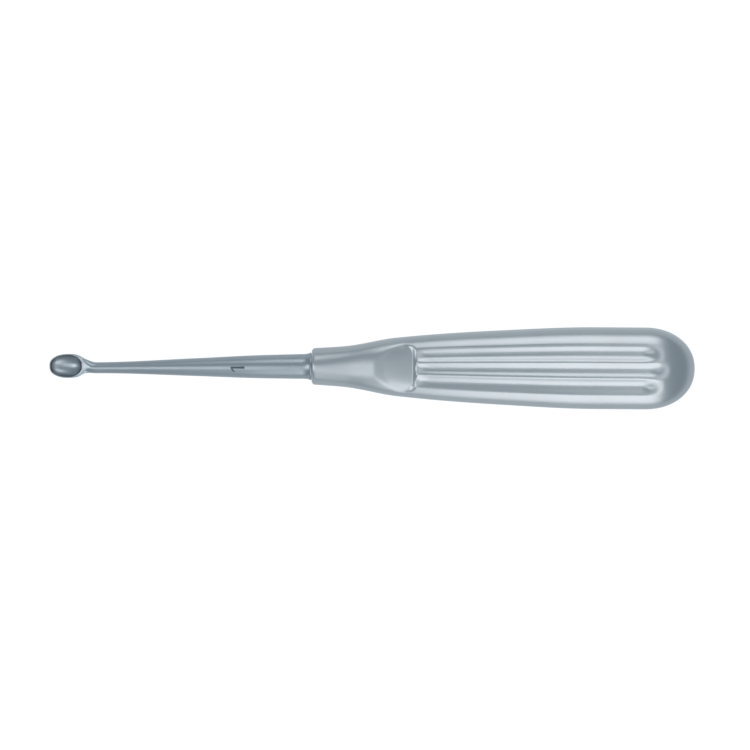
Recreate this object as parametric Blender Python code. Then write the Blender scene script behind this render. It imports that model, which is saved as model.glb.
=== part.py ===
"""Bone curette: an oval cup on a tapered shank, set in a hollow fluted handle.

The handle is two pressed half shells that meet in a plane along its sides.
Every piece is modelled along +X from the mouth of the handle, cup on the -X
side, face up. A parent empty then lays the instrument down as it rests.
"""

import math

import bmesh
import bpy
from mathutils import Matrix, Vector

MM = 0.001

# Blade: cup, shank and tang
BLADE_LENGTH = 69.3 * MM  # cup tip to handle mouth
CUP_LENGTH = 9.6 * MM
CUP_WIDTH = 6.28 * MM
CUP_DEPTH = 3.1 * MM  # rim plane to the lowest point outside
CUP_EDGE = 0.2 * MM  # width of the cutting rim
CUP_FLOOR = 0.6 * MM  # thickness under the bowl
CUP_RIM_HEIGHT = 1.15 * MM  # rim plane above the shank's axis
CUP_HEEL = 1.0 * MM  # rim width at the shank end
CUP_OFFSET = 0.62 * MM  # the cup sits a little to one side of the shank
CUP_FRONT_POWER = 2.3  # 2 would make the front of its outline an ellipse
CUP_REAR_POWER = 2.6
CUP_KEEL_POWER = 0.8  # how soon the cup is at its full depth
CUP_TURN = 1.4 * MM  # length behind the cup over which its flat heel turns round
CUP_BLEND = 2.8 * MM  # length over which cup turns into shank
NECK_SOFTNESS = 0.3 * MM  # roundness of the corner between cup and shank
KEEL_SOFTNESS = 0.5 * MM  # roundness of the turn under the cup into the shank
HEEL_FILLET = 0.75 * MM  # sideways swell of the shank where it leaves the cup
SHANK_TIP_RADIUS = 1.45 * MM
SHANK_MID_RADIUS = 2.35 * MM
SHANK_REAR_RADIUS = 3.04 * MM
SHANK_END_RADIUS = 3.25 * MM
SHANK_MID_SHARE = 0.49  # where along the taper the middle radius is met
SHANK_REAR_SHARE = 0.80
SHANK_SKEW = math.radians(0.75)  # the shank leans sideways by this much
COLLAR_RADIUS = 3.85 * MM
COLLAR_LENGTH = 3.0 * MM
TANG_LENGTH = 14.0 * MM
TANG_CHAMFER = 1.0 * MM

# Handle outline
HANDLE_LENGTH = 100.8 * MM
MOUTH_RADIUS = 4.78 * MM
MOUTH_LIP_RADIUS = 0.85 * MM
NECK_LENGTH = 8.8 * MM  # nearly straight sleeve behind the mouth
NECK_SWELL = 0.205  # share of the widening to the flare done along it
FLARE_END = 22.2 * MM  # where the quick widening stops
FLARE_HALF_WIDTH = 7.71 * MM
BELLY_HALF_WIDTH = 10.79 * MM
BELLY_LENGTH = 12.8 * MM  # stretch of full width in front of the butt
BELLY_SWELL = 0.66  # share of the widening done half way to the belly
BUTT_LENGTH = 13.2 * MM
BUTT_POWER = 2.12  # 2 would make the butt a plain ellipse
FACE_FLARE_DEPTH = 6.15 * MM  # face side, above the parting plane
BACK_FLARE_DEPTH = 5.7 * MM
BELLY_HALF_DEPTH = 8.0 * MM
SQUARE_END = 13.0 * MM  # where the neck's top is flattest across
SQUARENESS = 0.6  # added there to the power of its curve, which starts at 2
SIDE_LAND_SHARE = 0.33  # the straight side band's share of the depth
SIDE_DRAFT = math.radians(6.0)
SHEET_THICKNESS = 1.0 * MM

# Flutes, pressed into both sides
FLUTE_COUNT = 3
FLUTE_PITCH_SHARE = 0.39  # pitch as a share of the half width
FLUTE_DEPTH = 0.8 * MM  # at the belly
FLUTE_START = 24.2 * MM
FLUTE_RUNIN = 2.8 * MM
FLUTE_SETBACK = 6.5 * MM  # from the end of the middle flute to the butt's end
FLUTE_OUTER_SETBACK = 1.8 * MM  # how much sooner the outer flutes end
FLUTE_RUNOUT = 3.8 * MM

# Thumb rest, a shallow D-shaped pad on the face side only
THUMB_FLOOR = 5.5 * MM  # floor above the parting plane, at the pad's middle
THUMB_FALL = math.radians(2.5)  # the floor sinks towards the flutes
THUMB_CROWN_RADIUS = 28.0 * MM
THUMB_EDGE = 0.3 * MM  # softness of its rim
THUMB_MIDDLE = 24.0 * MM
THUMB_FRONT_REACH = 5.7 * MM  # from its middle to its round front
THUMB_REAR_REACH = 3.4 * MM  # from its middle to the wall where the flutes begin
THUMB_HALF_WIDTH = 5.7 * MM
THUMB_WALL_STEEPNESS = 1.1 * MM

# Fits
SEAM_GAP = 0.3 * MM
TANG_CLEARANCE = 0.3 * MM

# Mesh density
SHANK_SIDES = 28
NOSE_CUTS = 8
LIP_CUTS = 3
FLUTE_CUTS = 4
SHOULDER_CUTS = 4
BUTT_CUTS = 12


def clear_scene():
    for old in list(bpy.data.objects):
        bpy.data.objects.remove(old, do_unlink=True)


def make_material(name, colour, roughness):
    material = bpy.data.materials.new(name)
    material.use_nodes = True
    shader = material.node_tree.nodes["Principled BSDF"]
    shader.inputs["Base Color"].default_value = (*colour, 1.0)
    shader.inputs["Metallic"].default_value = 1.0
    shader.inputs["Roughness"].default_value = roughness
    return material


def smooth_step(value):
    value = min(1.0, max(0.0, value))
    return value * value * (3.0 - 2.0 * value)


def soft_max(a, b, softness):
    mix = max(softness - abs(a - b), 0.0) / softness
    return max(a, b) + mix * mix * softness * 0.25


def soft_min(a, b, softness):
    return -soft_max(-a, -b, softness)


def steady_curve(stations, at):
    """Value at one place on a smooth curve through (place, value) stations.

    The slopes are limited so that the curve never swings past a station.
    """
    places = [place for place, _ in stations]
    values = [value for _, value in stations]
    if at <= places[0]:
        return values[0]
    if at >= places[-1]:
        return values[-1]
    spans = [b - a for a, b in zip(places, places[1:])]
    rises = [(b - a) / span for a, b, span in zip(values, values[1:], spans)]
    slopes = [rises[0]]
    for before, after in zip(rises, rises[1:]):
        if before * after <= 0.0:
            slopes.append(0.0)
        else:
            slopes.append(2.0 * before * after / (before + after))
    slopes.append(rises[-1])
    index = max(i for i, place in enumerate(places) if place <= at)
    span = spans[index]
    part = (at - places[index]) / span
    rest = 1.0 - part
    return (
        values[index] * (1.0 + 2.0 * part) * rest * rest
        + slopes[index] * span * part * rest * rest
        + values[index + 1] * part * part * (3.0 - 2.0 * part)
        - slopes[index + 1] * span * part * part * rest
    )


def spaced(start, end, count):
    return [start + (end - start) * i / count for i in range(count)]


# Blade

CUP_MID = CUP_LENGTH * 0.53  # the cup's widest place, from its tip


def cup_half_width(place, inset=0.0, front=0.0, rear=0.0):
    """Half width of the cup's oval outline, or of one drawn inside it."""
    half = CUP_WIDTH / 2.0 - inset
    if place < CUP_MID:
        reach = (CUP_MID - place) / (CUP_MID - front)
        power = CUP_FRONT_POWER
    else:
        reach = (place - CUP_MID) / (CUP_LENGTH - CUP_MID - rear)
        power = CUP_REAR_POWER
    if reach >= 1.0:
        return 0.0
    return half * (1.0 - reach**power) ** (1.0 / power)


def shank_radius(place):
    collar_start = BLADE_LENGTH - COLLAR_LENGTH
    taper_start = CUP_LENGTH + CUP_BLEND
    taper = collar_start - taper_start
    stations = (
        (0.0, SHANK_TIP_RADIUS),
        (taper_start, SHANK_TIP_RADIUS),
        (taper_start + taper * SHANK_MID_SHARE, SHANK_MID_RADIUS),
        (taper_start + taper * SHANK_REAR_SHARE, SHANK_REAR_RADIUS),
        (collar_start, SHANK_END_RADIUS),
    )
    flare = max(0.0, (place - collar_start) / COLLAR_LENGTH)
    return steady_curve(stations, place) + (COLLAR_RADIUS - SHANK_END_RADIUS) * flare**3.5


def heel_swell(place):
    """How much wider than round the shank is on each side behind the cup."""
    before = (CUP_LENGTH + CUP_BLEND - place) / (CUP_BLEND + CUP_HEEL)
    return HEEL_FILLET * min(1.0, max(0.0, before)) ** 2


def tang_radius():
    return MOUTH_RADIUS - SHEET_THICKNESS - TANG_CLEARANCE


def shank_ring(place, radius):
    """One round section, started at the side and run under it, then over."""
    ring = []
    for i in range(SHANK_SIDES):
        angle = -2.0 * math.pi * i / SHANK_SIDES
        ring.append(Vector((place, radius * math.cos(angle), radius * math.sin(angle))))
    return ring


def bowl_drop(place, angle):
    """Depth of the bowl under the rim plane, at an angle across its section."""
    inner = cup_half_width(place, CUP_EDGE, CUP_EDGE, CUP_HEEL)
    share = inner / (CUP_WIDTH / 2.0 - CUP_EDGE)
    return (CUP_DEPTH - CUP_FLOOR) * share**CUP_KEEL_POWER * math.sin(angle)


def blade_places():
    """Stations along the blade, close together where its shape turns."""
    quarter = math.pi / 2.0
    nose = [CUP_MID * (1.0 - math.cos(quarter * (i + 0.4) / NOSE_CUTS)) for i in range(NOSE_CUTS)]
    heel = CUP_LENGTH - CUP_HEEL
    turn = heel - (heel - CUP_MID) * 0.16
    places = nose + spaced(CUP_MID, turn, 5)
    places += spaced(turn, heel, 3)
    places += spaced(heel, CUP_LENGTH + CUP_BLEND, 10)
    places += spaced(CUP_LENGTH + CUP_BLEND, BLADE_LENGTH - COLLAR_LENGTH, 9)
    places += spaced(BLADE_LENGTH - COLLAR_LENGTH, BLADE_LENGTH - SEAM_GAP, 5)
    places.append(BLADE_LENGTH - SEAM_GAP)
    return places


def blade_section(place):
    """One closed section: under from side to side, then back over the top.

    Over the cup the top is its rim and bowl, along the shank it is round, and
    between the two it is a mix of both.
    """
    heel = CUP_LENGTH - CUP_HEEL
    mix = smooth_step((place - heel) / (CUP_HEEL + CUP_TURN))
    radius = shank_radius(place)
    outer = cup_half_width(place)
    depth = CUP_DEPTH * (outer / (CUP_WIDTH / 2.0)) ** CUP_KEEL_POWER
    wide = outer
    low = depth - CUP_RIM_HEIGHT
    if place > CUP_MID:
        low = soft_max(low, radius, KEEL_SOFTNESS)
    if mix > 0.0:
        wide = soft_max(wide, radius + heel_swell(place), NECK_SOFTNESS)
    side_height = CUP_RIM_HEIGHT * (1.0 - mix)
    shift = CUP_OFFSET * (1.0 - smooth_step((place - heel) / (CUP_HEEL + CUP_BLEND)))
    half = SHANK_SIDES // 2
    ring = []
    for i in range(half + 1):
        angle = math.pi * i / half
        height = side_height - (side_height + low) * math.sin(angle)
        ring.append(Vector((place, shift + wide * math.cos(angle), height)))
    inner = cup_half_width(place, CUP_EDGE, CUP_EDGE, CUP_HEEL)
    for i in range(half - 1):
        over = math.pi * (1.0 - (i + 1) / half)
        bowl = math.pi * (1.0 - i / (half - 2))
        side = (1.0 - mix) * inner * math.cos(bowl) + mix * wide * math.cos(over)
        height = mix * radius * math.sin(over) - (1.0 - mix) * bowl_drop(place, bowl)
        ring.append(Vector((place, shift + side, side_height + height)))
    return ring


def skin_rings(bm, rings):
    """Join neighbouring rings of vertices with a band of quads."""
    for ring, following in zip(rings, rings[1:]):
        count = len(ring)
        for i in range(count):
            after = (i + 1) % count
            bm.faces.new((ring[i], ring[after], following[after], following[i]))


def add_ring(bm, points):
    return [bm.verts.new(point) for point in points]


def close_end(bm, ring, centre):
    tip = bm.verts.new(centre)
    for i, vert in enumerate(ring):
        bm.faces.new((tip, vert, ring[(i + 1) % len(ring)]))


def make_blade(material):
    bm = bmesh.new()
    sections = [blade_section(place) for place in blade_places()]
    tang_end = BLADE_LENGTH + TANG_LENGTH
    sections.append(shank_ring(BLADE_LENGTH - SEAM_GAP, tang_radius()))
    sections.append(shank_ring(tang_end - TANG_CHAMFER, tang_radius()))
    sections.append(shank_ring(tang_end, tang_radius() - TANG_CHAMFER))
    rings = [add_ring(bm, section) for section in sections]
    skin_rings(bm, rings)
    close_end(bm, rings[0], (0.0, CUP_OFFSET, CUP_RIM_HEIGHT))
    bm.faces.new(rings[-1])
    bmesh.ops.translate(bm, verts=bm.verts, vec=(-BLADE_LENGTH, 0.0, 0.0))
    bmesh.ops.rotate(bm, verts=bm.verts, matrix=Matrix.Rotation(SHANK_SKEW, 3, "Z"))
    return finish_mesh(bm, "cup_and_shank", material)


# Handle


def belly_start():
    return HANDLE_LENGTH - BUTT_LENGTH - BELLY_LENGTH


def flute_end():
    return HANDLE_LENGTH - FLUTE_SETBACK


def flute_full():
    """Where the flutes have their whole depth, clear of the thumb rest's wall."""
    return max(FLUTE_START + FLUTE_RUNIN, THUMB_MIDDLE + 1.4 * THUMB_REAR_REACH)


def outline(at, inset, mouth, flare, belly):
    """Half width or half depth of the handle at one place."""
    if at > HANDLE_LENGTH - BUTT_LENGTH:
        reach = (at - HANDLE_LENGTH + BUTT_LENGTH) / (BUTT_LENGTH - inset)
        return (belly - inset) * max(0.0, 1.0 - reach**BUTT_POWER) ** (1.0 / BUTT_POWER)
    stations = (
        (0.0, mouth),
        (NECK_LENGTH, mouth + (flare - mouth) * NECK_SWELL),
        (FLARE_END, flare),
        ((FLARE_END + belly_start()) / 2.0, flare + (belly - flare) * BELLY_SWELL),
        (belly_start(), belly),
        (HANDLE_LENGTH, belly),
    )
    return steady_curve(stations, at) - inset


def lip_inset(at):
    """How far the rounded lip falls back from the outline at the mouth."""
    back = MOUTH_LIP_RADIUS - at
    if back <= 0.0:
        return 0.0
    return MOUTH_LIP_RADIUS - math.sqrt(MOUTH_LIP_RADIUS**2 - back**2)


def flute_dip(across, at):
    """Depth of the flutes at a share across the width and a place along it."""
    lane = across / FLUTE_PITCH_SHARE + (FLUTE_COUNT - 1) / 2.0
    number = min(FLUTE_COUNT - 1, max(0, round(lane)))
    off = lane - number
    if abs(off) >= 0.5:
        return 0.0
    outward = abs(number - (FLUTE_COUNT - 1) / 2.0) / max(1.0, (FLUTE_COUNT - 1) / 2.0)
    end = flute_end() - outward * FLUTE_OUTER_SETBACK
    start = smooth_step((at - FLUTE_START) / FLUTE_RUNIN)
    fade = smooth_step((end - at) / FLUTE_RUNOUT)
    wide = outline(at, 0.0, MOUTH_RADIUS, FLARE_HALF_WIDTH, BELLY_HALF_WIDTH)
    depth = FLUTE_DEPTH * wide / BELLY_HALF_WIDTH
    return depth * start * fade * (1.0 - 4.0 * off * off)


def thumb_floor(at, side):
    """Height of the thumb rest's floor, which climbs steeply past its outline."""
    floor = THUMB_FLOOR - (at - THUMB_MIDDLE) * math.tan(THUMB_FALL)
    floor -= side * side / (2.0 * THUMB_CROWN_RADIUS)
    square = 0.0
    if at < THUMB_MIDDLE:
        along = ((THUMB_MIDDLE - at) / THUMB_FRONT_REACH) ** 1.2
    else:
        square = min(1.0, (at - THUMB_MIDDLE) / THUMB_REAR_REACH)
        along = ((at - THUMB_MIDDLE) / THUMB_REAR_REACH) ** 4
    beyond = along + abs(side / THUMB_HALF_WIDTH) ** (2.5 + 3.0 * square) - 1.0
    return floor + THUMB_WALL_STEEPNESS * max(0.0, beyond)


def across_shares():
    """Shares of the half width that carry the lengthwise lines of the mesh."""
    edge = FLUTE_COUNT / 2.0 * FLUTE_PITCH_SHARE
    count = FLUTE_COUNT * FLUTE_CUTS
    middle = [edge - 2.0 * edge * i / count for i in range(count + 1)]
    first = math.acos(edge)
    shoulder = [math.cos(first * i / SHOULDER_CUTS) for i in range(SHOULDER_CUTS)]
    return shoulder + middle + [-share for share in reversed(shoulder)]


def crown_power(at):
    """Power of the curve across the top: 2 is an ellipse, more is squarer."""
    rise = smooth_step(at / SQUARE_END)
    fall = smooth_step((at - SQUARE_END) / (FLARE_END - SQUARE_END))
    return 2.0 + SQUARENESS * (rise - fall)


def shell_row(at, inset, lip, thumb):
    """One section of a half shell, from its +Y edge over the top to its -Y edge."""
    seat = SEAM_GAP / 2.0
    wide = outline(at, inset, MOUTH_RADIUS, FLARE_HALF_WIDTH, BELLY_HALF_WIDTH) - lip
    flare = FACE_FLARE_DEPTH if thumb else BACK_FLARE_DEPTH
    deep = outline(at, inset, MOUTH_RADIUS, flare, BELLY_HALF_DEPTH) - lip
    wide = max(wide, 0.0)
    deep = max(deep - seat, 0.0)
    flat = smooth_step((at - NECK_LENGTH) / (FLARE_END - NECK_LENGTH))
    land = deep * SIDE_LAND_SHARE * flat
    shelf = wide - land * math.tan(SIDE_DRAFT)
    power = crown_power(at)
    row = [Vector((at, wide, seat))]
    for share in across_shares():
        side = shelf * share
        rise = land + (deep - land) * (1.0 - abs(share) ** power) ** (1.0 / power)
        height = seat + rise
        height -= flute_dip(share, at)
        if thumb:
            floor = thumb_floor(at, side) - inset
            height = soft_min(height, max(floor, seat), THUMB_EDGE)
        row.append(Vector((at, side, height)))
    row.append(Vector((at, -wide, seat)))
    return row


def shell_places(thumb):
    """Stations along a half shell, close together where its form turns."""
    quarter = math.pi / 2.0
    lip = MOUTH_LIP_RADIUS
    places = [lip * (1.0 - math.cos(quarter * i / LIP_CUTS)) for i in range(LIP_CUTS)]
    places += spaced(lip, NECK_LENGTH, 2)
    front = THUMB_MIDDLE - THUMB_FRONT_REACH
    wall = THUMB_MIDDLE + THUMB_REAR_REACH / 2.0
    if thumb:
        places += spaced(NECK_LENGTH, front, 5)
        places += spaced(front, wall, 11)
        places += spaced(wall, flute_full(), 7)
    else:
        places += spaced(NECK_LENGTH, FLUTE_START, 6)
        places += spaced(FLUTE_START, flute_full(), 4)
    dome = HANDLE_LENGTH - BUTT_LENGTH
    places += spaced(flute_full(), dome, 5)
    places += [dome + BUTT_LENGTH * math.sin(quarter * i / BUTT_CUTS) for i in range(BUTT_CUTS)]
    return places


def inner_place(at):
    """Where the shell's inside has the section that its outside has here."""
    start = HANDLE_LENGTH - BUTT_LENGTH
    if at <= start:
        return at
    return start + (at - start) * (BUTT_LENGTH - SHEET_THICKNESS) / BUTT_LENGTH


def make_shell(name, material, thumb):
    """A pressed half shell: outer skin, inner skin and the rim between them."""
    bm = bmesh.new()
    outer = []
    inner = []
    for at in shell_places(thumb):
        outer.append(add_ring(bm, shell_row(at, 0.0, lip_inset(at), thumb)))
        inner.append(add_ring(bm, shell_row(inner_place(at), SHEET_THICKNESS, 0.0, thumb)))
    for skin, flip in ((outer, False), (inner, True)):
        for row, following in zip(skin, skin[1:]):
            for i in range(len(row) - 1):
                face = (row[i], row[i + 1], following[i + 1], following[i])
                bm.faces.new(reversed(face) if flip else face)
    pole = bm.verts.new((HANDLE_LENGTH, 0.0, SEAM_GAP / 2.0))
    inner_pole = bm.verts.new((HANDLE_LENGTH - SHEET_THICKNESS, 0.0, SEAM_GAP / 2.0))
    for i in range(len(outer[-1]) - 1):
        bm.faces.new((outer[-1][i], outer[-1][i + 1], pole))
        bm.faces.new((inner[-1][i + 1], inner[-1][i], inner_pole))
    for i in range(len(outer[0]) - 1):
        bm.faces.new((outer[0][i + 1], outer[0][i], inner[0][i], inner[0][i + 1]))
    for edge in (0, -1):
        outside = [row[edge] for row in outer] + [pole]
        inside = [row[edge] for row in inner] + [inner_pole]
        for i in range(len(outside) - 1):
            face = (outside[i], outside[i + 1], inside[i + 1], inside[i])
            bm.faces.new(face if edge == 0 else reversed(face))
    return finish_mesh(bm, name, material)


def finish_mesh(bm, name, material):
    bmesh.ops.recalc_face_normals(bm, faces=bm.faces)
    mesh = bpy.data.meshes.new(name)
    bm.to_mesh(mesh)
    bm.free()
    mesh.materials.append(material)
    mesh.shade_smooth()
    mesh.set_sharp_from_angle(angle=math.radians(38.0))
    piece = bpy.data.objects.new(name, mesh)
    bpy.context.collection.objects.link(piece)
    return piece


# Rest


def lowest(points):
    return min(points, key=lambda point: point.z)


def lay_down(root, blade, handle_pieces):
    """Tilt the instrument until cup and handle touch the ground, and centre it."""
    bpy.context.view_layer.update()
    front = [blade.matrix_world @ vert.co for vert in blade.data.vertices]
    rear = []
    for piece in handle_pieces:
        rear += [piece.matrix_world @ vert.co for vert in piece.data.vertices]
    pitch = 0.0
    for _ in range(12):
        turn = Matrix.Rotation(pitch, 3, "Y")
        cup_foot = lowest([turn @ point for point in front])
        handle_foot = lowest([turn @ point for point in rear])
        pitch -= math.atan2(cup_foot.z - handle_foot.z, handle_foot.x - cup_foot.x)
    turned = [Matrix.Rotation(pitch, 3, "Y") @ point for point in front + rear]
    lows = [min(point[axis] for point in turned) for axis in range(3)]
    highs = [max(point[axis] for point in turned) for axis in range(3)]
    root.rotation_euler = (0.0, pitch, 0.0)
    root.location = (-(lows[0] + highs[0]) / 2.0, -(lows[1] + highs[1]) / 2.0, -lows[2])


def main():
    clear_scene()
    blade_steel = make_material("blade_steel", (0.40, 0.45, 0.49), 0.32)
    face_steel = make_material("handle_steel", (0.44, 0.49, 0.53), 0.42)
    root = bpy.data.objects.new("curette", None)
    bpy.context.collection.objects.link(root)
    blade = make_blade(blade_steel)
    face = make_shell("handle_face_shell", face_steel, True)
    back = make_shell("handle_back_shell", face_steel, False)
    back.rotation_euler = (math.pi, 0.0, 0.0)
    for piece in (blade, face, back):
        piece.parent = root
    lay_down(root, blade, (face, back))


main()
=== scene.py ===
"""The bone curette of the photograph, dressed for rendering on a white table.

The blade and the welded handle are each one smooth skin, made from sections
along the instrument. Places are counted from the cup's tip on the blade and
from the handle's mouth on the handle, then laid down as the solids lie.
"""

import math

import bmesh
import bpy
import numpy as np
from mathutils import Euler, Matrix, Vector

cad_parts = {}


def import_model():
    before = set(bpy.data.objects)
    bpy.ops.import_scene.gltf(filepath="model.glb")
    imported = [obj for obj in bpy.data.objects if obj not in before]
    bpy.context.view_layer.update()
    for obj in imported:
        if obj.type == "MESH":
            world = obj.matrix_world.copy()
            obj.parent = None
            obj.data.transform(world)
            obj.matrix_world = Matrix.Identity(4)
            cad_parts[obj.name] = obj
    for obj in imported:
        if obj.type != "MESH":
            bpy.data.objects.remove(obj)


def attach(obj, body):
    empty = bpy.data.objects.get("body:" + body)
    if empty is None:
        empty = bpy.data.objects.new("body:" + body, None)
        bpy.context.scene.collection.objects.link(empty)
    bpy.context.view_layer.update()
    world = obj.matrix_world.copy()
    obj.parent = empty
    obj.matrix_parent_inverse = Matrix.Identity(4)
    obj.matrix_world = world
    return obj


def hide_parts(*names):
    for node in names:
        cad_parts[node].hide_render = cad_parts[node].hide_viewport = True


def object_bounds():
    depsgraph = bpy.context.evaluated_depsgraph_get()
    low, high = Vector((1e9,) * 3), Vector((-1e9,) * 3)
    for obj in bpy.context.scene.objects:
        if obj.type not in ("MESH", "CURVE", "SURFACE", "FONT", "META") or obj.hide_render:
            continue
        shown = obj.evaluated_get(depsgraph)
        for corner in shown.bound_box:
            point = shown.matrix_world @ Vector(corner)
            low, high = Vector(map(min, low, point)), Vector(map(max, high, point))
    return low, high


MM = 0.001

# How the instrument lies: tilt about Y, then where the handle's mouth is
REST_PITCH = math.radians(-2.6090)
REST_PLACE = (-0.0157098, 0.0, 0.0048904)

# Cup
CUP_LENGTH = 9.6 * MM
CUP_WIDTH = 6.28 * MM
CUP_MID = CUP_LENGTH * 0.53  # where it is widest
CUP_DEPTH = 3.1 * MM  # rim plane to the lowest point outside
CUP_EDGE = 0.25 * MM  # width of the cutting rim
CUP_FLOOR = 0.9 * MM  # thickness under the bowl
CUP_RIM_HEIGHT = 1.15 * MM  # rim plane above the shank's axis
CUP_RIM_CROWN = 0.1 * MM  # how far the rim's sides fall from its ridge
CUP_TIP_DROP = 0.04 * MM  # the very tip lies this far under the rim plane
CUP_HEEL = 1.0 * MM  # rim width at the shank end
CUP_OFFSET = 0.62 * MM  # the cup sits a little to one side of the shank
CUP_FRONT_POWER = 2.3  # 2 would make the front of its outline an ellipse
CUP_REAR_POWER = 2.6
CUP_KEEL_POWER = 0.8  # how soon the cup is at its full depth
BOWL_REAR_POWER = 2.15  # roundness of the bowl's outline at the shank end
BOWL_KEEL_POWER = 0.85  # how soon the bowl is at its full depth
BOWL_SOFTNESS = 1.35  # 1 would make the bowl's section half an ellipse

# Neck between cup and shank
CUP_TURN = 1.4 * MM  # length behind the cup over which its flat heel turns round
CUP_BLEND = 2.8 * MM  # length over which cup turns into shank
NECK_SOFTNESS = 0.3 * MM  # roundness of the corner between cup and shank
KEEL_SOFTNESS = 0.5 * MM  # roundness of the turn under the cup into the shank
HEEL_FILLET = 0.75 * MM  # sideways swell of the shank where it leaves the cup
HEEL_SPREAD = 0.4 * MM  # length over which the bowl's points spread on the heel

# Shank, collar and tang
BLADE_LENGTH = 69.3 * MM  # cup tip to handle mouth
SHANK_TIP_RADIUS = 1.45 * MM
SHANK_MID_RADIUS = 2.35 * MM
SHANK_REAR_RADIUS = 3.04 * MM
SHANK_END_RADIUS = 3.25 * MM
SHANK_MID_SHARE = 0.49  # where along the taper the middle radius is met
SHANK_REAR_SHARE = 0.80
SHANK_SKEW = math.radians(0.75)  # the shank leans sideways by this much
COLLAR_RADIUS = 3.85 * MM
COLLAR_LENGTH = 3.0 * MM
COLLAR_FLARE_POWER = 3.5
TANG_LENGTH = 14.0 * MM
TANG_CHAMFER = 1.0 * MM

# Handle outline
HANDLE_LENGTH = 100.8 * MM
MOUTH_RADIUS = 4.78 * MM
MOUTH_LIP_RADIUS = 0.85 * MM
BORE_RUN = 1.5 * MM  # how far the bore goes on behind the tang
NECK_LENGTH = 8.8 * MM  # nearly straight sleeve behind the mouth
NECK_SWELL = 0.205  # share of the widening to the flare done along it
FLARE_END = 22.2 * MM  # where the quick widening stops
FLARE_HALF_WIDTH = 7.71 * MM
BELLY_HALF_WIDTH = 10.79 * MM
BELLY_LENGTH = 12.8 * MM  # stretch of full width in front of the butt
BELLY_SWELL = 0.66  # share of the widening done half way to the belly
BUTT_LENGTH = 13.2 * MM
BUTT_POWER = 2.12  # 2 would make the butt a plain ellipse
FACE_FLARE_DEPTH = 6.15 * MM  # face side, above the parting plane
BACK_FLARE_DEPTH = 5.7 * MM
BELLY_HALF_DEPTH = 8.0 * MM
SQUARE_END = 13.0 * MM  # where the neck's top is flattest across
SQUARENESS = 0.6  # added there to the power of its curve, which starts at 2
SIDE_LAND_SHARE = 0.33  # the straight side band's share of the depth
SIDE_DRAFT = math.radians(6.0)
SHEET_THICKNESS = 1.0 * MM

# Flutes, pressed into both sides
FLUTE_COUNT = 3
FLUTE_PITCH_SHARE = 0.39  # pitch as a share of the half width
FLUTE_DEPTH = 1.2 * MM  # at the belly
FLUTE_START = 26.0 * MM
FLUTE_RUNIN = 3.8 * MM
FLUTE_SETBACK = 6.0 * MM  # from the end of the middle flute to the butt's end
FLUTE_OUTER_SETBACK = 1.8 * MM  # how much sooner the outer flutes end
FLUTE_RUNOUT = 6.0 * MM
CREST_SOFTNESS = 1.0 * MM  # roundness of the ridges between flutes
LEAST_SOFTNESS = 0.001 * MM  # of a ridge where the flutes have faded out

# Thumb rest, a shallow D-shaped pad on the face side only
THUMB_FLOOR = 5.5 * MM  # floor above the parting plane, at the pad's middle
THUMB_FALL = math.radians(2.5)  # the floor sinks towards the flutes
THUMB_CROWN_RADIUS = 28.0 * MM
THUMB_EDGE = 0.9 * MM  # softness of its rim
THUMB_MIDDLE = 24.0 * MM
THUMB_FRONT_REACH = 4.9 * MM  # from its middle to its round front
THUMB_REAR_REACH = 2.8 * MM  # from its middle to the wall where the flutes begin
THUMB_HALF_WIDTH = 5.7 * MM
THUMB_FRONT_POWER = 1.2  # shape of its outline along the handle, at the front
THUMB_REAR_POWER = 3  # the same at the rear
THUMB_SIDE_POWER = 2.5  # shape of its outline across the handle
THUMB_CORNER_POWER = 3.0  # added to that at the rear, where the corners are squarer
THUMB_WALL_STEEPNESS = 1.1 * MM
THUMB_REAR_EASE = 0.35  # share by which the rear wall is gentler
THUMB_FOOT_SOFTNESS = 0.6  # roundness of the turn from floor to wall
THUMB_FOOT_EASE = 0.75  # share by which that turn is tighter at the rear

# Size number on the shank
MARK_PLACE = 48.0 * MM
MARK_HEIGHT = 3.7 * MM
MARK_STROKE = 0.5 * MM
MARK_FOOT_SWELL = 1.25  # the stroke's width at its foot, over its width at the top
MARK_FLAG_BACK = 0.95 * MM
MARK_FLAG_SIDE = 1.2 * MM
MARK_FLAG_STEP = 0.02 * MM  # gap that keeps the flag clear of the stroke
MARK_FLAG_TIP = 0.4  # half the flag's width at its end, over the stroke's width
MARK_FLAG_ROOT = 1.1  # how far down the stroke the flag's root reaches, over its width
MARK_RISE = 0.012 * MM  # its top over the shank's surface
MARK_SINK = 0.02 * MM  # its underside under that surface
MARK_CUTS = 8

# Fits
SEAM_GAP = 0.3 * MM
TANG_CLEARANCE = 0.3 * MM
WELD_GROOVE = 0.03 * MM
WELD_EDGE = 0.1 * MM  # height of the turn from the groove to the side
WELD_LIMIT = 0.2  # most that groove and turn take of a side that runs out

# Mesh: points around a section, and degrees at which the round ends are cut
BLADE_SIDES = 96
RIM_POINTS = 6  # across each side of the cup's rim
FLUTE_CUTS = 28
SHOULDER_CUTS = 24
LIP_ANGLES = np.linspace(0.0, 82.0, 9)
BUTT_ANGLES = np.linspace(0.0, 88.0, 50)
NOSE_ANGLES = np.linspace(1.0, 89.0, 46)
LEAST_HALF_WIDTH = 0.005 * MM  # of the cup where its outline closes
SHARP_ANGLE = math.radians(40.0)  # edges that turn more are drawn sharp

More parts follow.
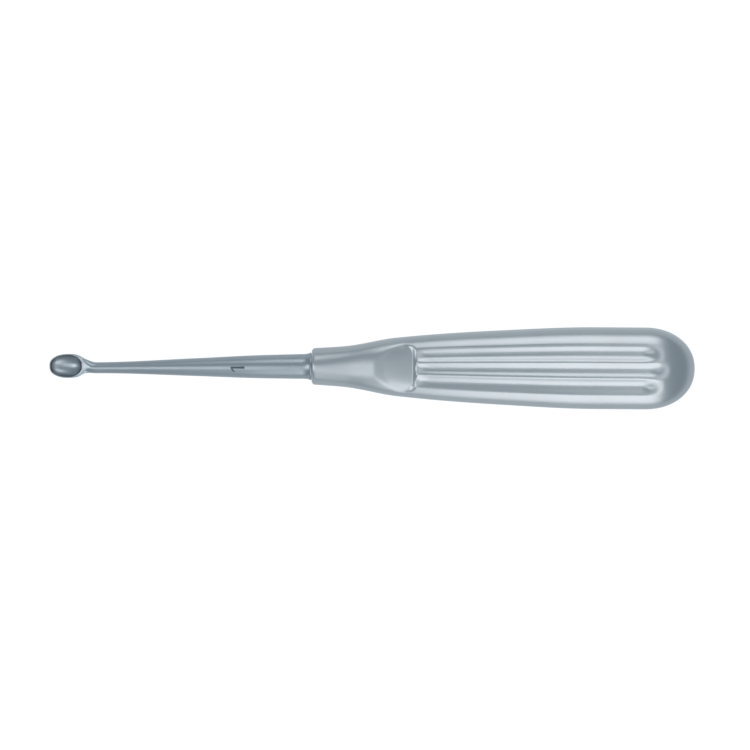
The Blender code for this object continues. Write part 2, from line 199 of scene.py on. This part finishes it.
# Looks
BLADE_COLOUR = (0.345, 0.375, 0.40)
BLADE_ROUGHNESS = 0.34
BLADE_GRAIN = (60000.0, 9000.0, 9000.0)  # finer along the blade than across
HANDLE_COLOUR = (0.441, 0.456, 0.470)
HANDLE_ROUGHNESS = 0.33
HANDLE_GRAIN = (30000.0, 30000.0, 30000.0)
GRAIN_DETAIL = 3.0
GRAIN_BUMP = 0.01 * MM
GRAIN_STRENGTH = 0.12
CLOUD_SCALE = 90.0
CLOUD_DETAIL = 4.0
TONE_SPREAD = 0.06  # how far the tone goes up and down from the colour
GLOSS_SPREAD = 0.12  # the same for the roughness
MARK_DARK = (0.045, 0.06, 0.08, 1.0)
MARK_LIGHT = (0.10, 0.13, 0.16, 1.0)
MARK_METALLIC = 0.3
MARK_ROUGHNESS = 0.6
MARK_SPECK_SCALE = 6000.0
TABLE_HALF = 1.5
TABLE_GLOW = 0.92  # white of the table, as the camera sees it
TABLE_MATT = 0.16  # the part of the table that takes the shadow
TABLE_IN_METAL = (0.60, 0.67, 0.72)  # the table's colour in reflections
WORLD_GREY = (0.40, 0.48, 0.535)

# Soft boxes face the X axis: name, centre along X, angle from overhead towards
# +Y, distance, width along X, length around X, radiance
SOFT_BOXES = (
    ("box_near", 0.0625, -51.0, 0.34, 0.235, 0.36, 1.5),
    ("box_far", 0.05, 58.0, 0.34, 0.26, 0.17, 1.5),
    ("box_left", -0.285, -2.0, 0.34, 0.23, 0.22, 2.1),
    ("box_strip", -0.097, -9.0, 0.34, 0.07, 0.18, 1.45),
    ("box_over", 0.13, 12.0, 0.34, 0.16, 0.38, 0.68),
)

CAMERA_DISTANCE = 2.0
CAMERA_LEAN = math.radians(4.0)  # the camera stands a little towards +Y
CAMERA_ROLL = math.radians(0.19)
CAMERA_AIM = (0.93 * MM, -1.98 * MM, 0.0)  # from the middle of the object's box
CAMERA_RANGE = (0.05, 10.0)
FRAME_WIDTH = 197.3 * MM  # width of the picture on the table
SENSOR_WIDTH = 36.0


def smooth_step(value):
    value = np.clip(value, 0.0, 1.0)
    return value * value * (3.0 - 2.0 * value)


def soft_max(a, b, softness):
    mix = np.maximum(softness - np.abs(a - b), 0.0) / softness
    return np.maximum(a, b) + mix * mix * softness * 0.25


def soft_min(a, b, softness):
    return -soft_max(-a, -b, softness)


def steady_curve(stations, at):
    """Value at one place on a smooth curve through (place, value) stations."""
    places = [place for place, _ in stations]
    values = [value for _, value in stations]
    if at <= places[0]:
        return values[0]
    if at >= places[-1]:
        return values[-1]
    spans = [b - a for a, b in zip(places, places[1:])]
    rises = [(b - a) / span for a, b, span in zip(values, values[1:], spans)]
    slopes = [rises[0]]
    for before, after in zip(rises, rises[1:]):
        if before * after <= 0.0:
            slopes.append(0.0)
        else:
            slopes.append(2.0 * before * after / (before + after))
    slopes.append(rises[-1])
    index = max(i for i, place in enumerate(places) if place <= at)
    span = spans[index]
    part = (at - places[index]) / span
    rest = 1.0 - part
    return (
        values[index] * (1.0 + 2.0 * part) * rest * rest
        + slopes[index] * span * part * rest * rest
        + values[index + 1] * part * part * (3.0 - 2.0 * part)
        - slopes[index + 1] * span * part * part * rest
    )


def spaced(start, end, count):
    return [start + (end - start) * i / count for i in range(count)]


# Blade


def cup_half_width(place, inset=0.0, front=0.0, rear=0.0, power_behind=CUP_REAR_POWER):
    """Half the width of the cup's outline, or of the bowl's where it is inset."""
    half = CUP_WIDTH / 2.0 - inset
    if place < CUP_MID:
        reach = (CUP_MID - place) / (CUP_MID - front)
        power = CUP_FRONT_POWER
    else:
        reach = (place - CUP_MID) / (CUP_LENGTH - CUP_MID - rear)
        power = power_behind
    if reach >= 1.0:
        return 0.0
    return half * (1.0 - reach**power) ** (1.0 / power)


def shank_radius(place):
    collar_start = BLADE_LENGTH - COLLAR_LENGTH
    taper_start = CUP_LENGTH + CUP_BLEND
    taper = collar_start - taper_start
    stations = (
        (0.0, SHANK_TIP_RADIUS),
        (taper_start, SHANK_TIP_RADIUS),
        (taper_start + taper * SHANK_MID_SHARE, SHANK_MID_RADIUS),
        (taper_start + taper * SHANK_REAR_SHARE, SHANK_REAR_RADIUS),
        (collar_start, SHANK_END_RADIUS),
    )
    flare = max(0.0, (place - collar_start) / COLLAR_LENGTH)
    widening = (COLLAR_RADIUS - SHANK_END_RADIUS) * flare**COLLAR_FLARE_POWER
    return steady_curve(stations, place) + widening


def heel_swell(place):
    before = (CUP_LENGTH + CUP_BLEND - place) / (CUP_BLEND + CUP_HEEL)
    return HEEL_FILLET * min(1.0, max(0.0, before)) ** 2


def tang_radius():
    return MOUTH_RADIUS - SHEET_THICKNESS - TANG_CLEARANCE


def round_section(place, radius, sides):
    angle = -2.0 * np.pi * np.arange(sides) / sides
    return np.column_stack((np.full(sides, place), radius * np.cos(angle), radius * np.sin(angle)))


def blade_section(place, sides):
    """One closed section: under from side to side, then rim, bowl and rim."""
    heel = CUP_LENGTH - CUP_HEEL
    mix = float(smooth_step((place - heel) / (CUP_HEEL + CUP_TURN)))
    radius = shank_radius(place)
    outer = max(cup_half_width(place), LEAST_HALF_WIDTH)
    depth = CUP_DEPTH * (outer / (CUP_WIDTH / 2.0)) ** CUP_KEEL_POWER
    wide = outer
    low = depth - CUP_RIM_HEIGHT
    if place > CUP_MID:
        low = float(soft_max(low, radius, KEEL_SOFTNESS))
    if mix > 0.0:
        wide = float(soft_max(outer, radius + heel_swell(place), NECK_SOFTNESS))
    side_height = CUP_RIM_HEIGHT * (1.0 - mix)
    shift = CUP_OFFSET * (1.0 - float(smooth_step((place - heel) / (CUP_HEEL + CUP_BLEND))))
    half = sides // 2
    angle = np.pi * np.arange(half + 1) / half
    under = np.column_stack((
        np.full(half + 1, place),
        shift + wide * np.cos(angle),
        side_height - (side_height + low) * np.sin(angle),
    ))
    inner = cup_half_width(place, CUP_EDGE, CUP_EDGE, CUP_HEEL, BOWL_REAR_POWER)
    share = inner / (CUP_WIDTH / 2.0 - CUP_EDGE)
    bowl_depth = (CUP_DEPTH - CUP_FLOOR) * share**BOWL_KEEL_POWER
    rim = RIM_POINTS
    cuts = half - 1 - 2 * rim
    step = np.arange(half - 1)
    over = np.pi * (1.0 - (step + 1) / half)
    bowl = np.pi * (1.0 - np.clip((step - rim + 1) / (cuts + 1), 0.0, 1.0))
    across = np.clip((step + 1) / rim, 0.0, 1.0)
    across = across - np.clip((step - half + 1 + rim) / rim, 0.0, 1.0)
    edge = outer * np.sign(np.cos(over))
    side = inner * np.cos(bowl) * across + edge * (1.0 - across)
    crown = CUP_RIM_CROWN * (2.0 * across - 1.0) ** 2 * (share > 0.0) * (across < 1.0)
    drop = bowl_depth * np.sin(bowl) ** BOWL_SOFTNESS + crown
    spread = float(smooth_step((place - heel) / HEEL_SPREAD))
    top_side = (1.0 - spread) * side + spread * wide * np.cos(over)
    round_over = np.sqrt(np.maximum(0.0, 1.0 - (top_side / wide) ** 2))
    top_height = mix * radius * round_over - (1.0 - mix) * drop
    top = np.column_stack((np.full(half - 1, place), shift + top_side, side_height + top_height))
    return np.vstack((under, top))


def blade_places():
    """Where the blade's sections lie, closest together where the bowl ends."""
    nose = [CUP_MID * (1.0 - math.cos(math.radians(a))) for a in NOSE_ANGLES]
    heel = CUP_LENGTH - CUP_HEEL
    bowl_end, heel_start = heel - 0.6 * MM, heel + 0.05 * MM
    shank_start, collar_start = CUP_LENGTH + CUP_BLEND, BLADE_LENGTH - COLLAR_LENGTH
    places = nose + spaced(CUP_MID, bowl_end, 26)
    places += spaced(bowl_end, heel_start, 18)
    places += spaced(heel_start, shank_start, 48)
    places += spaced(shank_start, collar_start, 50)
    places += spaced(collar_start, BLADE_LENGTH - SEAM_GAP, 18)
    places.append(BLADE_LENGTH - SEAM_GAP)
    return places


def skin_mesh(name, rings, tip, end):
    """A closed mesh from closed rings of points, a tip point and an end point."""
    count = len(rings[0])
    points = np.vstack([tip[None, :], *rings, end[None, :]])
    last = len(points) - 1
    faces = []
    for i in range(count):
        faces.append((0, 1 + i, 1 + (i + 1) % count))
    for row in range(len(rings) - 1):
        base = 1 + row * count
        for i in range(count):
            after = (i + 1) % count
            faces.append((base + i, base + count + i, base + count + after, base + after))
    base = 1 + (len(rings) - 1) * count
    for i in range(count):
        faces.append((base + (i + 1) % count, base + i, last))
    mesh = bpy.data.meshes.new(name)
    mesh.from_pydata([tuple(p) for p in points], [], faces)
    bm = bmesh.new()
    bm.from_mesh(mesh)
    bmesh.ops.recalc_face_normals(bm, faces=bm.faces)
    bm.to_mesh(mesh)
    bm.free()
    mesh.update()
    mesh.shade_smooth()
    mesh.set_sharp_from_angle(angle=SHARP_ANGLE)
    return mesh


def rest_matrix():
    return Matrix.Translation(REST_PLACE) @ Euler((0.0, REST_PITCH, 0.0)).to_matrix().to_4x4()


def add_piece(name, mesh, material, before=None):
    """Put a finished mesh where the part lies."""
    placed = rest_matrix() if before is None else rest_matrix() @ before
    mesh.transform(placed)
    mesh.materials.append(material)
    piece = bpy.data.objects.new(name, mesh)
    bpy.context.scene.collection.objects.link(piece)
    return piece


def blade_frame():
    """From the blade's own places, counted from its tip, to the mouth's frame."""
    return Matrix.Rotation(SHANK_SKEW, 4, "Z") @ Matrix.Translation((-BLADE_LENGTH, 0.0, 0.0))


def make_blade(material):
    """Cup, shank, collar and tang as one skin."""
    rings = [blade_section(place, BLADE_SIDES) for place in blade_places()]
    end = BLADE_LENGTH + TANG_LENGTH
    rings.append(round_section(BLADE_LENGTH - SEAM_GAP, tang_radius(), BLADE_SIDES))
    rings.append(round_section(end - TANG_CHAMFER, tang_radius(), BLADE_SIDES))
    rings.append(round_section(end, tang_radius() - TANG_CHAMFER, BLADE_SIDES))
    tip = np.array((0.0, CUP_OFFSET, CUP_RIM_HEIGHT - CUP_TIP_DROP))
    mesh = skin_mesh("blade_steel_skin", rings, tip, np.array((end, 0.0, 0.0)))
    return add_piece("blade_steel_skin", mesh, material, blade_frame())


def shank_point(place, across, rise):
    """A point just over the shank's top, across along its surface from the ridge."""
    radius = shank_radius(place)
    angle = across / radius
    return (place, (radius + rise) * math.sin(angle), (radius + rise) * math.cos(angle))


def stroke(bm, corners):
    """One thin plate of the mark on the round of the shank.

    Its four corners are (place, across) pairs.
    """
    cuts = MARK_CUTS
    grid = []
    for rise in (-MARK_SINK, MARK_RISE):
        layer = []
        for i in range(cuts + 1):
            row = []
            for j in range(cuts + 1):
                u, v = i / cuts, j / cuts
                weights = ((1 - u) * (1 - v), u * (1 - v), u * v, (1 - u) * v)
                place = sum(w * c[0] for w, c in zip(weights, corners))
                across = sum(w * c[1] for w, c in zip(weights, corners))
                row.append(bm.verts.new(shank_point(place, across, rise)))
            layer.append(row)
        grid.append(layer)
    for layer in grid:
        for i in range(cuts):
            for j in range(cuts):
                bm.faces.new((layer[i][j], layer[i + 1][j], layer[i + 1][j + 1], layer[i][j + 1]))
    low, high = grid
    rim = [(i, 0) for i in range(cuts)] + [(cuts, j) for j in range(cuts)]
    rim += [(i, cuts) for i in range(cuts, 0, -1)] + [(0, j) for j in range(cuts, 0, -1)]
    for (i, j), (k, m) in zip(rim, rim[1:] + rim[:1]):
        bm.faces.new((low[i][j], low[k][m], high[k][m], high[i][j]))


def make_mark(material):
    """The size number 1, etched on the shank with its top towards the cup."""
    bm = bmesh.new()
    top, foot, half = MARK_PLACE, MARK_PLACE + MARK_HEIGHT, MARK_STROKE / 2.0
    wide = half * MARK_FOOT_SWELL
    stroke(bm, [(top, half), (top, -half), (foot, -wide), (foot, wide)])
    flag_foot = (top + MARK_FLAG_BACK, -MARK_FLAG_SIDE)
    stroke(bm, [
        (top + MARK_FLAG_STEP, -half - MARK_FLAG_STEP),
        (flag_foot[0] - MARK_STROKE * MARK_FLAG_TIP, flag_foot[1]),
        (flag_foot[0] + MARK_STROKE * MARK_FLAG_TIP, flag_foot[1]),
        (top + MARK_STROKE * MARK_FLAG_ROOT, -half - MARK_FLAG_STEP),
    ])
    bmesh.ops.recalc_face_normals(bm, faces=bm.faces)
    mesh = bpy.data.meshes.new("size_mark")
    bm.to_mesh(mesh)
    bm.free()
    return add_piece("size_mark", mesh, material, blade_frame())


# Handle


def belly_start():
    return HANDLE_LENGTH - BUTT_LENGTH - BELLY_LENGTH


def flute_end():
    return HANDLE_LENGTH - FLUTE_SETBACK


def outline(at, mouth, flare, belly):
    if at > HANDLE_LENGTH - BUTT_LENGTH:
        reach = min(1.0, (at - HANDLE_LENGTH + BUTT_LENGTH) / BUTT_LENGTH)
        return belly * (1.0 - reach**BUTT_POWER) ** (1.0 / BUTT_POWER)
    stations = (
        (0.0, mouth),
        (NECK_LENGTH, mouth + (flare - mouth) * NECK_SWELL),
        (FLARE_END, flare),
        ((FLARE_END + belly_start()) / 2.0, flare + (belly - flare) * BELLY_SWELL),
        (belly_start(), belly),
        (HANDLE_LENGTH, belly),
    )
    return steady_curve(stations, at)


def lip_inset(at):
    back = MOUTH_LIP_RADIUS - at
    if back <= 0.0:
        return 0.0
    return MOUTH_LIP_RADIUS - math.sqrt(MOUTH_LIP_RADIUS**2 - back**2)


def flute_dip(across, at, wide):
    """Depth of the flutes at shares across the width, at one place along it."""
    depth = FLUTE_DEPTH * wide / BELLY_HALF_WIDTH
    start = smooth_step((at - FLUTE_START) / FLUTE_RUNIN)
    height = np.zeros_like(across)
    middle = (FLUTE_COUNT - 1) / 2.0
    for lane in range(FLUTE_COUNT):
        off = across / FLUTE_PITCH_SHARE + middle - lane
        outward = abs(lane - middle) / max(1.0, middle)
        end = flute_end() - outward * FLUTE_OUTER_SETBACK
        fade = smooth_step((end - at) / FLUTE_RUNOUT)
        bed = -depth * start * fade * (1.0 - 4.0 * off * off)
        softness = CREST_SOFTNESS * float(start * fade)
        height = soft_min(height, bed, max(softness, LEAST_SOFTNESS))
    return -height


def thumb_floor(at, side):
    """Height of the thumb rest's floor and of the walls that rise around it."""
    floor = THUMB_FLOOR - (at - THUMB_MIDDLE) * math.tan(THUMB_FALL)
    floor = floor - side * side / (2.0 * THUMB_CROWN_RADIUS)
    square = 0.0
    if at < THUMB_MIDDLE:
        along = ((THUMB_MIDDLE - at) / THUMB_FRONT_REACH) ** THUMB_FRONT_POWER
    else:
        square = min(1.0, (at - THUMB_MIDDLE) / THUMB_REAR_REACH)
        along = ((at - THUMB_MIDDLE) / THUMB_REAR_REACH) ** THUMB_REAR_POWER
    power = THUMB_SIDE_POWER + THUMB_CORNER_POWER * square
    beyond = along + np.abs(side / THUMB_HALF_WIDTH) ** power - 1.0
    foot = THUMB_FOOT_SOFTNESS * (1.0 - THUMB_FOOT_EASE * square)
    rise = soft_max(beyond, 0.0, foot) - foot / 4.0
    steepness = THUMB_WALL_STEEPNESS * (1.0 - THUMB_REAR_EASE * square)
    return floor + steepness * np.maximum(0.0, rise)


def crown_power(at):
    rise = float(smooth_step(at / SQUARE_END))
    fall = float(smooth_step((at - SQUARE_END) / (FLARE_END - SQUARE_END)))
    return 2.0 + SQUARENESS * (rise - fall)


def across_shares(cuts, shoulder_cuts):
    edge = FLUTE_COUNT / 2.0 * FLUTE_PITCH_SHARE
    count = FLUTE_COUNT * cuts
    middle = [edge - 2.0 * edge * i / count for i in range(count + 1)]
    first = math.acos(edge)
    shoulder = [math.cos(first * i / shoulder_cuts) for i in range(shoulder_cuts)]
    return np.array(shoulder + middle + [-share for share in reversed(shoulder)])


def half_row(at, shares, thumb):
    """Half a section of the handle, from its +Y side over the top to its -Y side."""
    lip = lip_inset(at)
    wide = max(outline(at, MOUTH_RADIUS, FLARE_HALF_WIDTH, BELLY_HALF_WIDTH) - lip, 0.0)
    flare = FACE_FLARE_DEPTH if thumb else BACK_FLARE_DEPTH
    deep = max(outline(at, MOUTH_RADIUS, flare, BELLY_HALF_DEPTH) - lip, 0.0)
    flat = float(smooth_step((at - NECK_LENGTH) / (FLARE_END - NECK_LENGTH)))
    land = deep * SIDE_LAND_SHARE * flat
    shelf = wide - land * math.tan(SIDE_DRAFT)
    side = shelf * shares
    power = crown_power(at)
    height = land + (deep - land) * (1.0 - np.abs(shares) ** power) ** (1.0 / power)
    height = height - flute_dip(shares, at, wide)
    if thumb:
        height = soft_min(height, thumb_floor(at, side), THUMB_EDGE)
    near = min(WELD_EDGE, deep * WELD_LIMIT)
    groove = min(WELD_GROOVE, wide * WELD_LIMIT)
    edge_height = np.array((0.0, near, max(land * 0.5, near * 1.5)))
    edge_side = wide - edge_height * math.tan(SIDE_DRAFT) * flat
    edge_side[0] = wide - groove
    if land < near * 2.0:
        edge_height = np.array((0.0, near * 0.25, near * 0.5))
        edge_side = np.full(3, wide)
        height = np.maximum(height, near * 0.6)
    side = np.concatenate((edge_side, side, -edge_side[::-1]))
    height = np.concatenate((edge_height, height, edge_height[::-1]))
    return side, height


def handle_places():
    """Where the handle's sections lie, closest together at the thumb rest's wall."""
    lip = MOUTH_LIP_RADIUS
    places = [lip * (1.0 - math.cos(math.radians(a))) for a in LIP_ANGLES]
    places += spaced(lip, NECK_LENGTH, 12)
    wall = THUMB_MIDDLE + 1.6 * THUMB_REAR_REACH
    runout = flute_end() - FLUTE_RUNOUT - 4.0 * MM
    dome = HANDLE_LENGTH - BUTT_LENGTH
    places += spaced(NECK_LENGTH, THUMB_MIDDLE, 76)
    places += spaced(THUMB_MIDDLE, wall, 40)
    places += spaced(wall, runout, 36)
    places += spaced(runout, dome, 16)
    places += [dome + BUTT_LENGTH * math.sin(math.radians(a)) for a in BUTT_ANGLES]
    return places


def make_handle(material):
    """The welded handle as one skin, with a blind bore for the tang."""
    shares = across_shares(FLUTE_CUTS, SHOULDER_CUTS)
    rings = []
    for at in handle_places():
        side, height = half_row(at, shares, True)
        under_side, under_height = half_row(at, shares, False)
        y = np.concatenate((side, under_side[-2:0:-1]))
        z = np.concatenate((height, -under_height[-2:0:-1]))
        rings.append(np.column_stack((np.full(len(y), at), y, z)))
    bore = MOUTH_RADIUS - SHEET_THICKNESS
    mouth = rings[0]
    unit = mouth[:, 1:] / np.linalg.norm(mouth[:, 1:], axis=1)[:, None]
    bore_end = TANG_LENGTH + BORE_RUN
    front = [np.column_stack((np.full(len(unit), at), unit * bore)) for at in (bore_end, 0.0)]
    tip = np.array((bore_end, 0.0, 0.0))
    mesh = skin_mesh("handle_skin", front + rings, tip, np.array((HANDLE_LENGTH, 0.0, 0.0)))
    return add_piece("handle_skin", mesh, material)


# Materials


def node(tree, kind, place, **values):
    """A new node at its place in the tree, with the given properties."""
    made = tree.nodes.new(kind)
    made.location = place
    for key, value in values.items():
        setattr(made, key, value)
    return made


def steel_material(name, colour, roughness, grain):
    """Satin steel: fine blasted or ground grain, faint clouds in tone and gloss."""
    material = bpy.data.materials.new(name)
    material.use_nodes = True
    tree = material.node_tree
    shader = tree.nodes["Principled BSDF"]
    shader.inputs["Metallic"].default_value = 1.0
    place = node(tree, "ShaderNodeTexCoord", (-1200, 0))
    stretch = node(tree, "ShaderNodeMapping", (-1000, 0))
    stretch.inputs["Scale"].default_value = grain
    tree.links.new(place.outputs["Object"], stretch.inputs["Vector"])
    fine = node(tree, "ShaderNodeTexNoise", (-800, -200))
    fine.inputs["Scale"].default_value = 1.0
    fine.inputs["Detail"].default_value = GRAIN_DETAIL
    tree.links.new(stretch.outputs["Vector"], fine.inputs["Vector"])
    cloud = node(tree, "ShaderNodeTexNoise", (-800, 200))
    cloud.inputs["Scale"].default_value = CLOUD_SCALE
    cloud.inputs["Detail"].default_value = CLOUD_DETAIL
    tree.links.new(place.outputs["Object"], cloud.inputs["Vector"])
    tone = node(tree, "ShaderNodeMix", (-400, 200), data_type="RGBA")
    tone.inputs["A"].default_value = (*[c * (1.0 - TONE_SPREAD) for c in colour], 1.0)
    tone.inputs["B"].default_value = (*[c * (1.0 + TONE_SPREAD) for c in colour], 1.0)
    tree.links.new(cloud.outputs["Fac"], tone.inputs["Factor"])
    tree.links.new(tone.outputs["Result"], shader.inputs["Base Color"])
    gloss = node(tree, "ShaderNodeMapRange", (-400, -50))
    gloss.inputs["To Min"].default_value = roughness * (1.0 - GLOSS_SPREAD)
    gloss.inputs["To Max"].default_value = roughness * (1.0 + GLOSS_SPREAD)
    tree.links.new(fine.outputs["Fac"], gloss.inputs["Value"])
    tree.links.new(gloss.outputs["Result"], shader.inputs["Roughness"])
    bump = node(tree, "ShaderNodeBump", (-400, -300))
    bump.inputs["Strength"].default_value = GRAIN_STRENGTH
    bump.inputs["Distance"].default_value = GRAIN_BUMP
    tree.links.new(fine.outputs["Fac"], bump.inputs["Height"])
    tree.links.new(bump.outputs["Normal"], shader.inputs["Normal"])
    return material


def mark_material():
    """The dull dark oxide left by etching, a little uneven."""
    material = bpy.data.materials.new("etched_mark_dark")
    material.use_nodes = True
    tree = material.node_tree
    shader = tree.nodes["Principled BSDF"]
    shader.inputs["Metallic"].default_value = MARK_METALLIC
    shader.inputs["Roughness"].default_value = MARK_ROUGHNESS
    place = node(tree, "ShaderNodeTexCoord", (-800, 0))
    speck = node(tree, "ShaderNodeTexNoise", (-600, 0))
    speck.inputs["Scale"].default_value = MARK_SPECK_SCALE
    tree.links.new(place.outputs["Object"], speck.inputs["Vector"])
    tone = node(tree, "ShaderNodeMix", (-400, 0), data_type="RGBA")
    tone.inputs["A"].default_value = MARK_DARK
    tone.inputs["B"].default_value = MARK_LIGHT
    tree.links.new(speck.outputs["Fac"], tone.inputs["Factor"])
    tree.links.new(tone.outputs["Result"], shader.inputs["Base Color"])
    return material


def floor_material():
    """White to the camera, greyer in reflections, with a part that takes the shadow."""
    material = bpy.data.materials.new("table_white")
    material.use_nodes = True
    tree = material.node_tree
    tree.nodes.clear()
    out = node(tree, "ShaderNodeOutputMaterial", (600, 0))
    path = node(tree, "ShaderNodeLightPath", (-800, 200))
    tint = node(tree, "ShaderNodeMix", (-200, 400), data_type="RGBA")
    tint.inputs["A"].default_value = (TABLE_GLOW, TABLE_GLOW, TABLE_GLOW, 1.0)
    tint.inputs["B"].default_value = (*TABLE_IN_METAL, 1.0)
    tree.links.new(path.outputs["Is Glossy Ray"], tint.inputs["Factor"])
    seen = node(tree, "ShaderNodeMath", (-400, 200), operation="MAXIMUM")
    shown = node(tree, "ShaderNodeMath", (-200, 200), operation="MAXIMUM")
    tree.links.new(path.outputs["Is Camera Ray"], seen.inputs[0])
    tree.links.new(path.outputs["Is Glossy Ray"], seen.inputs[1])
    tree.links.new(seen.outputs["Value"], shown.inputs[0])
    tree.links.new(path.outputs["Is Transmission Ray"], shown.inputs[1])
    white = node(tree, "ShaderNodeEmission", (0, 100))
    tree.links.new(tint.outputs["Result"], white.inputs["Color"])
    tree.links.new(shown.outputs["Value"], white.inputs["Strength"])
    matt = node(tree, "ShaderNodeBsdfDiffuse", (0, -100))
    matt.inputs["Color"].default_value = (TABLE_MATT, TABLE_MATT, TABLE_MATT, 1.0)
    blend = node(tree, "ShaderNodeAddShader", (300, 0))
    tree.links.new(matt.outputs["BSDF"], blend.inputs[0])
    tree.links.new(white.outputs["Emission"], blend.inputs[1])
    tree.links.new(blend.outputs["Shader"], out.inputs["Surface"])
    return material


def make_floor():
    mesh = bpy.data.meshes.new("table")
    half = TABLE_HALF
    corners = [(-half, -half, 0.0), (half, -half, 0.0), (half, half, 0.0), (-half, half, 0.0)]
    mesh.from_pydata(corners, [], [(0, 1, 2, 3)])
    mesh.materials.append(floor_material())
    table = bpy.data.objects.new("table", mesh)
    bpy.context.scene.collection.objects.link(table)


# Light and camera


def make_lights():
    for name, along, angle, distance, width, length, radiance in SOFT_BOXES:
        turn = Euler((-math.radians(angle), 0.0, 0.0)).to_matrix()
        lamp = bpy.data.lights.new(name, "AREA")
        lamp.shape = "RECTANGLE"
        lamp.size = width
        lamp.size_y = length
        lamp.energy = math.pi * width * length * radiance
        holder = bpy.data.objects.new(name, lamp)
        centre = turn @ Vector((along, 0.0, distance))
        holder.matrix_world = Matrix.Translation(centre) @ turn.to_4x4()
        bpy.context.scene.collection.objects.link(holder)
    world = bpy.data.worlds.new("studio")
    world.use_nodes = True
    tree = world.node_tree
    path = node(tree, "ShaderNodeLightPath", (-600, 0))
    around = node(tree, "ShaderNodeMix", (-300, 0), data_type="RGBA")
    around.inputs["A"].default_value = (*WORLD_GREY, 1.0)
    around.inputs["B"].default_value = (1.0, 1.0, 1.0, 1.0)
    tree.links.new(path.outputs["Is Camera Ray"], around.inputs["Factor"])
    tree.links.new(around.outputs["Result"], tree.nodes["Background"].inputs["Color"])
    bpy.context.scene.world = world


def make_camera(low, high):
    """A long lens over the table, at the photograph's angle and framing."""
    aim = (low + high) / 2.0 + Vector(CAMERA_AIM)
    back = Vector((0.0, math.sin(CAMERA_LEAN), math.cos(CAMERA_LEAN)))
    data = bpy.data.cameras.new("camera")
    data.sensor_width = SENSOR_WIDTH
    data.lens = SENSOR_WIDTH * CAMERA_DISTANCE / FRAME_WIDTH
    camera = bpy.data.objects.new("camera", data)
    turn = Matrix.Rotation(-CAMERA_LEAN, 4, "X") @ Matrix.Rotation(CAMERA_ROLL, 4, "Z")
    camera.matrix_world = Matrix.Translation(aim + back * CAMERA_DISTANCE) @ turn
    data.clip_start, data.clip_end = CAMERA_RANGE
    bpy.context.scene.collection.objects.link(camera)
    bpy.context.scene.camera = camera


def main():
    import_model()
    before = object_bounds()
    fine_blade = steel_material("blade_steel_fine", BLADE_COLOUR, BLADE_ROUGHNESS, BLADE_GRAIN)
    fine_handle = steel_material("handle_steel_fine", HANDLE_COLOUR, HANDLE_ROUGHNESS, HANDLE_GRAIN)
    blade = make_blade(fine_blade)
    handle = make_handle(fine_handle)
    mark = make_mark(mark_material())
    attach(blade, "root")
    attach(handle, "root")
    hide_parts("cup_and_shank")
    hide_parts("handle_face_shell", "handle_back_shell")
    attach(mark, "root")
    make_floor()
    make_lights()
    make_camera(*before)
    bpy.context.scene.view_settings.view_transform = "Standard"


main()
